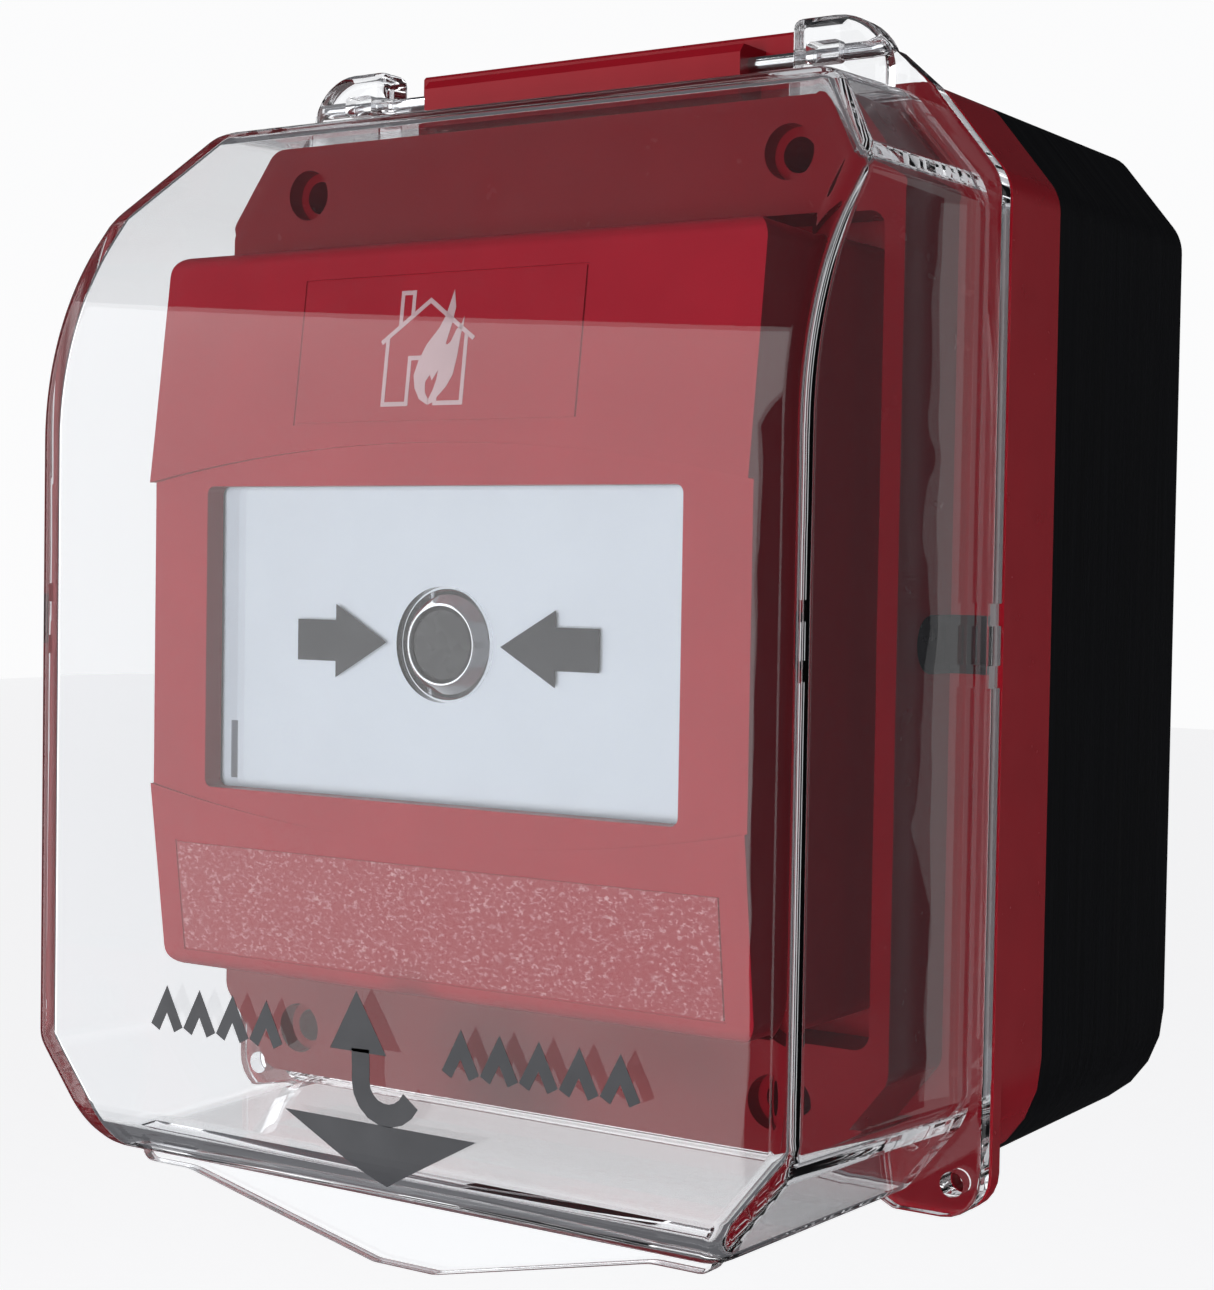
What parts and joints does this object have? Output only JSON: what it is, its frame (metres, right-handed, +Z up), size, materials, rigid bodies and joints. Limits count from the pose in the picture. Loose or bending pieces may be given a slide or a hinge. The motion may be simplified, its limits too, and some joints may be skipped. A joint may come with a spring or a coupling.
{
  "type": "manual call point",
  "caption": "Resettable fire alarm call point with a push button, in a hinged clear cover on a deep wall box.",
  "frame": {"origin": "on the wall face, behind the centre of the call point's face", "axes": "+X to the right as seen from the front, +Y into the wall, +Z up"},
  "size_m": [0.1144, 0.1008, 0.1481],
  "materials": {
    "black_print": "matt, with fine layer lines",
    "black_rubber": "matt",
    "insert_brass": "bright",
    "base_red": "gloss",
    "screw_steel": "satin",
    "rod_steel": "polished",
    "cover_clear": "clear moulded plastic, gloss",
    "call_point_red": "satin",
    "natural_plastic": "satin",
    "label_red": "satin film",
    "label_mottled": "scuffed film",
    "pane_clear": "clear",
    "plate_white": "satin",
    "ring_chrome": "polished",
    "button_black": "gloss",
    "spring_steel": "bright",
    "flag_yellow": "satin",
    "switch_black": "satin",
    "plunger_red": "satin",
    "board_green": "solder mask",
    "resistor_beige": "gloss",
    "terminal_green": "satin"
  },
  "bodies": {
    "wall_unit": {"back_box": "black_print", "base_gasket": "black_rubber", "screw_inserts": "insert_brass", "cable_grommet": "black_rubber", "cover_base": "base_red", "cover_base_screws": "screw_steel", "hinge_rod": "rod_steel", "call_point_body": "call_point_red", "call_point_screws": "screw_steel", "mechanism_chassis": "natural_plastic", "chassis_screws": "screw_steel", "call_point_front": "call_point_red", "symbol_label": "label_red", "information_label": "label_mottled", "operating_pane": "pane_clear", "backing_plate": "plate_white", "button_ring": "ring_chrome", "button_spring": "spring_steel", "latch_spring": "spring_steel", "switch_body": "switch_black", "switch_screws": "screw_steel", "circuit_board": "board_green", "line_resistors": "resistor_beige", "terminal_block": "terminal_green", "terminal_screws": "screw_steel"},
    "cover": {"clear_cover": "cover_clear"},
    "button": {"push_button": "button_black"},
    "flag": {"status_flag": "flag_yellow"},
    "lever": {"switch_lever": "spring_steel"},
    "plunger": {"switch_plunger": "plunger_red"},
    "reset": {"reset_barrel": "button_black"},
    "latch": {"latch_slide": "spring_steel"}
  },
  "joints": [
    {"name": "cover_lift", "type": "hinge", "parent": "wall_unit", "child": "cover", "pos_m": [0, -0.0593, 0.0682], "axis": [-1, 0, 0], "range_deg": [0, 110]},
    {"name": "button_press", "type": "slide", "parent": "wall_unit", "child": "button", "axis": [0, 1, 0], "range_m": [0, 0.003], "stiffness_N_per_m": 600, "springref_m": -0.005, "deforming": ["button_spring"]},
    {"name": "flag_rise", "type": "slide", "parent": "wall_unit", "child": "flag", "axis": [0, 0, 1], "range_m": [0, 0.006]},
    {"name": "lever_swing", "type": "hinge", "parent": "wall_unit", "child": "lever", "pos_m": [-0.012, -0.0579, -0.0025], "axis": [0, 0, 1], "range_deg": [0, 12.5]},
    {"name": "plunger_in", "type": "slide", "parent": "wall_unit", "child": "plunger", "axis": [0, 1, 0], "range_m": [0, 0.00112]},
    {"name": "reset_turn", "type": "hinge", "parent": "wall_unit", "child": "reset", "pos_m": [0, -0.08, -0.04], "axis": [0, 0, -1], "range_deg": [0, 60]},
    {"name": "latch_draw", "type": "slide", "parent": "wall_unit", "child": "latch", "axis": [1, 0, 0], "range_m": [0, 0.0022], "deforming": ["latch_spring"]}
  ],
  "couplings": [
    {"joint": "flag_rise", "follows": "button_press", "ratio": 2},
    {"joint": "lever_swing", "follows": "button_press", "rad_per_m": 69},
    {"joint": "plunger_in", "follows": "button_press", "ratio": 0.37},
    {"joint": "reset_turn", "follows": "latch_draw", "rad_per_m": 475}
  ]
}
